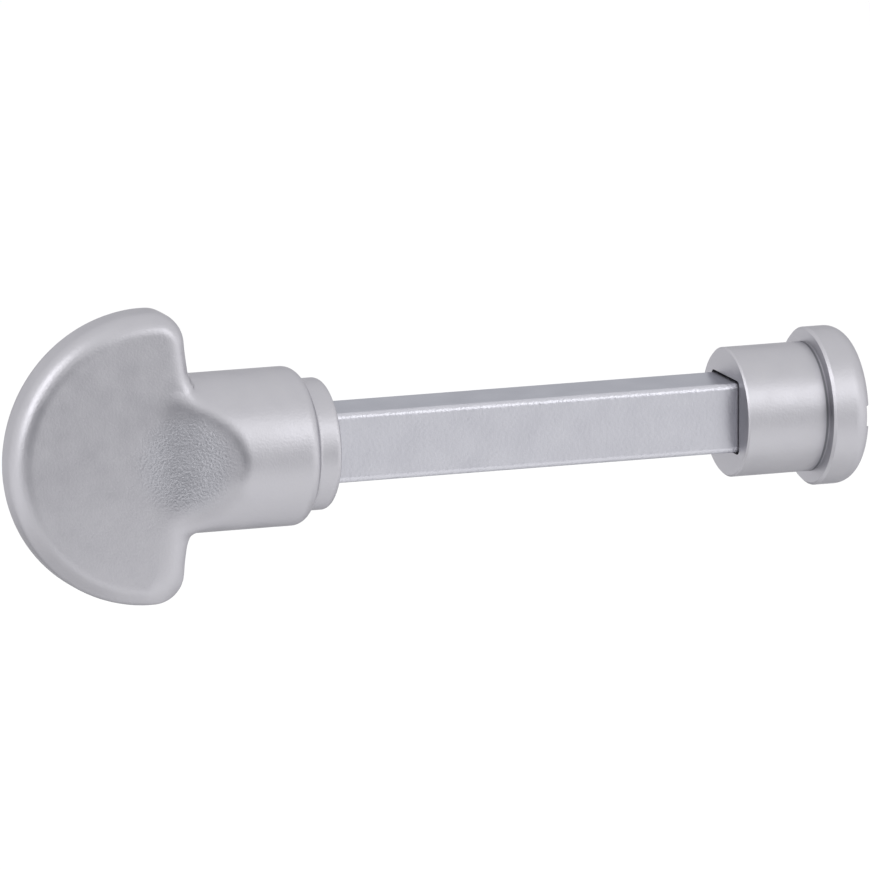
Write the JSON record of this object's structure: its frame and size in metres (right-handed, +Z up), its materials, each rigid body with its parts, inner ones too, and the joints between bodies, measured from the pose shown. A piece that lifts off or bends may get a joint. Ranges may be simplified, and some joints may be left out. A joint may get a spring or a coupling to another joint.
{
  "type": "bathroom turn and release set",
  "caption": "Half-moon thumb turn with a round hub on a square spindle, and a round coin-slot release head that slides on the spindle's far end, to work a bathroom lock.",
  "frame": {"origin": "centre of the hub's shoulder, where the turn meets the inside rose", "axes": "+X along the spindle, from the turn to the release head; +Z up, with the blade in the XZ plane"},
  "size_m": [0.101, 0.018, 0.0334],
  "materials": {
    "turn_casting": "satin",
    "head_casting": "satin",
    "spindle_steel": "zinc plated",
    "screw_steel": "black oxide"
  },
  "bodies": {
    "turn": {"thumb_turn": "turn_casting", "spindle": "spindle_steel", "grub_screw": "screw_steel"},
    "release": {"release_head": "head_casting"}
  },
  "joints": [
    {"name": "release_slide", "type": "slide", "parent": "turn", "child": "release", "axis": [1, 0, 0], "range_m": [-0.0032, 0.0067]}
  ]
}
